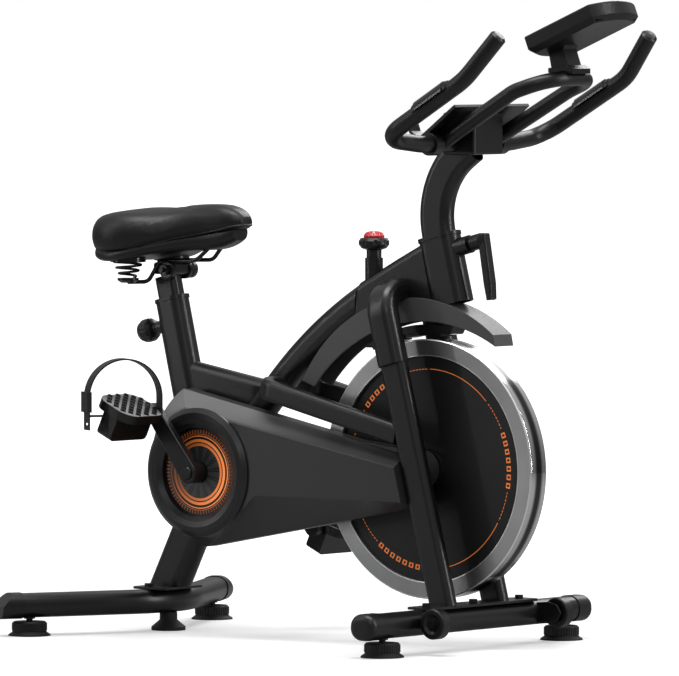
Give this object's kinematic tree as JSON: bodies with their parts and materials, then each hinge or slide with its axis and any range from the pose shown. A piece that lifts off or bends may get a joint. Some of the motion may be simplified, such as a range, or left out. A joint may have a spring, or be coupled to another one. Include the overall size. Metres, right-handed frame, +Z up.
{
  "type": "exercise bike",
  "caption": "Indoor exercise bike with a belt-driven flywheel, sprung saddle, curved handlebar with an inner loop, and a small tilted display",
  "frame": {"origin": "middle of the bounding box in X and Y, on the floor", "axes": "+X points forward, +Y to the rider's left, +Z up"},
  "size_m": [1.1104, 0.6088, 1.0668],
  "materials": {
    "frame_black": "satin black paint",
    "steel": "zinc plated",
    "rim_chrome": "polished",
    "foot_rubber": "matte",
    "black_plastic": "fine grain",
    "cover_grey": "satin dark grey",
    "crank_black": "satin black paint",
    "seat_vinyl": "semi-gloss vinyl",
    "red_plastic": "gloss",
    "screen_grey": "gloss"
  },
  "bodies": {
    "frame": {"stabiliser_end_caps": "black_plastic", "centre_foot": "foot_rubber", "base_plates": "frame_black", "base_fasteners": "steel", "front_stabiliser": "frame_black", "rear_stabiliser": "frame_black", "seat_tube": "frame_black", "rear_leg": "frame_black", "main_beam": "frame_black", "cross_tube": "frame_black", "bottom_bracket_shell": "frame_black", "head_gusset": "frame_black", "head_tube": "frame_black", "fork_legs": "frame_black", "side_struts": "frame_black", "fork_crown": "frame_black", "bearings": "steel", "flywheel_axle": "steel", "drive_belt": "foot_rubber", "belt_cover_outer": "cover_grey", "belt_cover_inner": "cover_grey", "cover_bezel": "black_plastic", "flywheel_guard": "cover_grey", "brake_mount": "frame_black", "tube_bushings": "black_plastic"},
    "foot_front_right": {"levelling_foot_front_right": "foot_rubber"},
    "foot_front_left": {"levelling_foot_front_left": "foot_rubber"},
    "foot_rear_right": {"levelling_foot_rear_right": "foot_rubber"},
    "foot_rear_left": {"levelling_foot_rear_left": "foot_rubber"},
    "wheel_right": {"transport_wheel_right": "black_plastic"},
    "wheel_left": {"transport_wheel_left": "black_plastic"},
    "flywheel": {"flywheel_rim": "rim_chrome", "flywheel_disc": "frame_black"},
    "crank": {"crank_axle": "steel", "crank_arms": "crank_black", "drive_pulley": "black_plastic"},
    "pedal_right": {"pedal_body_right": "black_plastic", "pedal_strap_right": "foot_rubber"},
    "pedal_left": {"pedal_body_left": "black_plastic", "pedal_strap_left": "foot_rubber"},
    "brake_push": {"brake_rod": "steel"},
    "resistance_knob": {"resistance_knob": "black_plastic", "knob_cap": "red_plastic"},
    "brake_arm": {"brake_arm": "frame_black"},
    "seat_post": {"seat_post": "frame_black", "seat_clamp": "frame_black"},
    "saddle": {"saddle_cushion": "seat_vinyl", "saddle_base": "black_plastic", "saddle_rails": "frame_black", "saddle_springs": "crank_black"},
    "seat_pin": {"seat_pin_knob": "black_plastic"},
    "handlebar": {"handlebar_post": "frame_black", "handlebar": "frame_black", "elbow_loop": "frame_black", "pulse_sensors": "rim_chrome", "tablet_tray": "black_plastic", "console_case": "cover_grey", "console_screen": "screen_grey"},
    "lock_lever": {"lock_lever": "black_plastic"},
    "mode_button": {"console_button": "cover_grey"}
  },
  "joints": [
    {"name": "foot_front_right_turn", "type": "hinge", "parent": "frame", "child": "foot_front_right", "pos_m": [0.24846, -0.242, 0.02], "axis": [0, 0, 1], "range_deg": [-720, 720]},
    {"name": "foot_front_left_turn", "type": "hinge", "parent": "frame", "child": "foot_front_left", "pos_m": [0.24846, 0.242, 0.02], "axis": [0, 0, 1], "range_deg": [-720, 720]},
    {"name": "foot_rear_right_turn", "type": "hinge", "parent": "frame", "child": "foot_rear_right", "pos_m": [-0.50652, -0.242, 0.02], "axis": [0, 0, 1], "range_deg": [-720, 720]},
    {"name": "foot_rear_left_turn", "type": "hinge", "parent": "frame", "child": "foot_rear_left", "pos_m": [-0.50652, 0.242, 0.02], "axis": [0, 0, 1], "range_deg": [-720, 720]},
    {"name": "wheel_right_roll", "type": "hinge", "parent": "frame", "child": "wheel_right", "pos_m": [0.29946, -0.167, 0.052], "axis": [0, 1, 0], "continuous": true},
    {"name": "wheel_left_roll", "type": "hinge", "parent": "frame", "child": "wheel_left", "pos_m": [0.29946, 0.167, 0.052], "axis": [0, 1, 0], "continuous": true},
    {"name": "flywheel_spin", "type": "hinge", "parent": "frame", "child": "flywheel", "pos_m": [0.16946, 0, 0.294], "axis": [0, 1, 0], "continuous": true},
    {"name": "crank_spin", "type": "hinge", "parent": "frame", "child": "crank", "pos_m": [-0.25954, 0, 0.277], "axis": [0, 1, 0], "continuous": true},
    {"name": "pedal_right_spin", "type": "hinge", "parent": "crank", "child": "pedal_right", "pos_m": [-0.33654, -0.183, 0.378], "axis": [0, 1, 0], "continuous": true},
    {"name": "pedal_left_spin", "type": "hinge", "parent": "crank", "child": "pedal_left", "pos_m": [-0.18254, 0.183, 0.176], "axis": [0, 1, 0], "continuous": true},
    {"name": "brake_push", "type": "slide", "parent": "frame", "child": "brake_push", "axis": [0, 0, -1], "range_m": [0, 0.006]},
    {"name": "resistance_turn", "type": "hinge", "parent": "brake_push", "child": "resistance_knob", "pos_m": [0.04046, 0, 0.66], "axis": [0, 0, 1], "range_deg": [0, 1440]},
    {"name": "brake_arm_tilt", "type": "hinge", "parent": "frame", "child": "brake_arm", "pos_m": [0.21646, 0, 0.541], "axis": [0, 1, 0], "range_deg": [-1.9, 0], "stiffness_Nm_per_rad": 60, "springref_deg": 2.29},
    {"name": "seat_post_slide", "type": "slide", "parent": "frame", "child": "seat_post", "axis": [-0.232, 0, 0.9727], "range_m": [0, 0.16]},
    {"name": "saddle_tilt", "type": "hinge", "parent": "seat_post", "child": "saddle", "pos_m": [-0.38554, 0, 0.612], "axis": [0, 1, 0], "range_deg": [-10, 10]},
    {"name": "seat_pin_pull", "type": "slide", "parent": "frame", "child": "seat_pin", "axis": [-0.9727, 0, -0.232], "range_m": [0, 0.008], "stiffness_N_per_m": 800, "springref_m": -0.006},
    {"name": "handlebar_slide", "type": "slide", "parent": "frame", "child": "handlebar", "axis": [-0.2465, 0, 0.9691], "range_m": [0, 0.05]},
    {"name": "lock_lever_turn", "type": "hinge", "parent": "frame", "child": "lock_lever", "pos_m": [0.18458, 0, 0.652], "axis": [0.9691, 0, 0.2465], "range_deg": [-120, 120]},
    {"name": "mode_button_press", "type": "slide", "parent": "handlebar", "child": "mode_button", "axis": [0.3778, 0, -0.9259], "range_m": [0, 0.0015], "stiffness_N_per_m": 400, "springref_m": -0.001}
  ],
  "couplings": [
    {"joint": "crank_spin", "follows": "flywheel_spin", "ratio": 0.28571},
    {"joint": "brake_push", "follows": "brake_arm_tilt", "m_per_rad": -0.176}
  ]
}
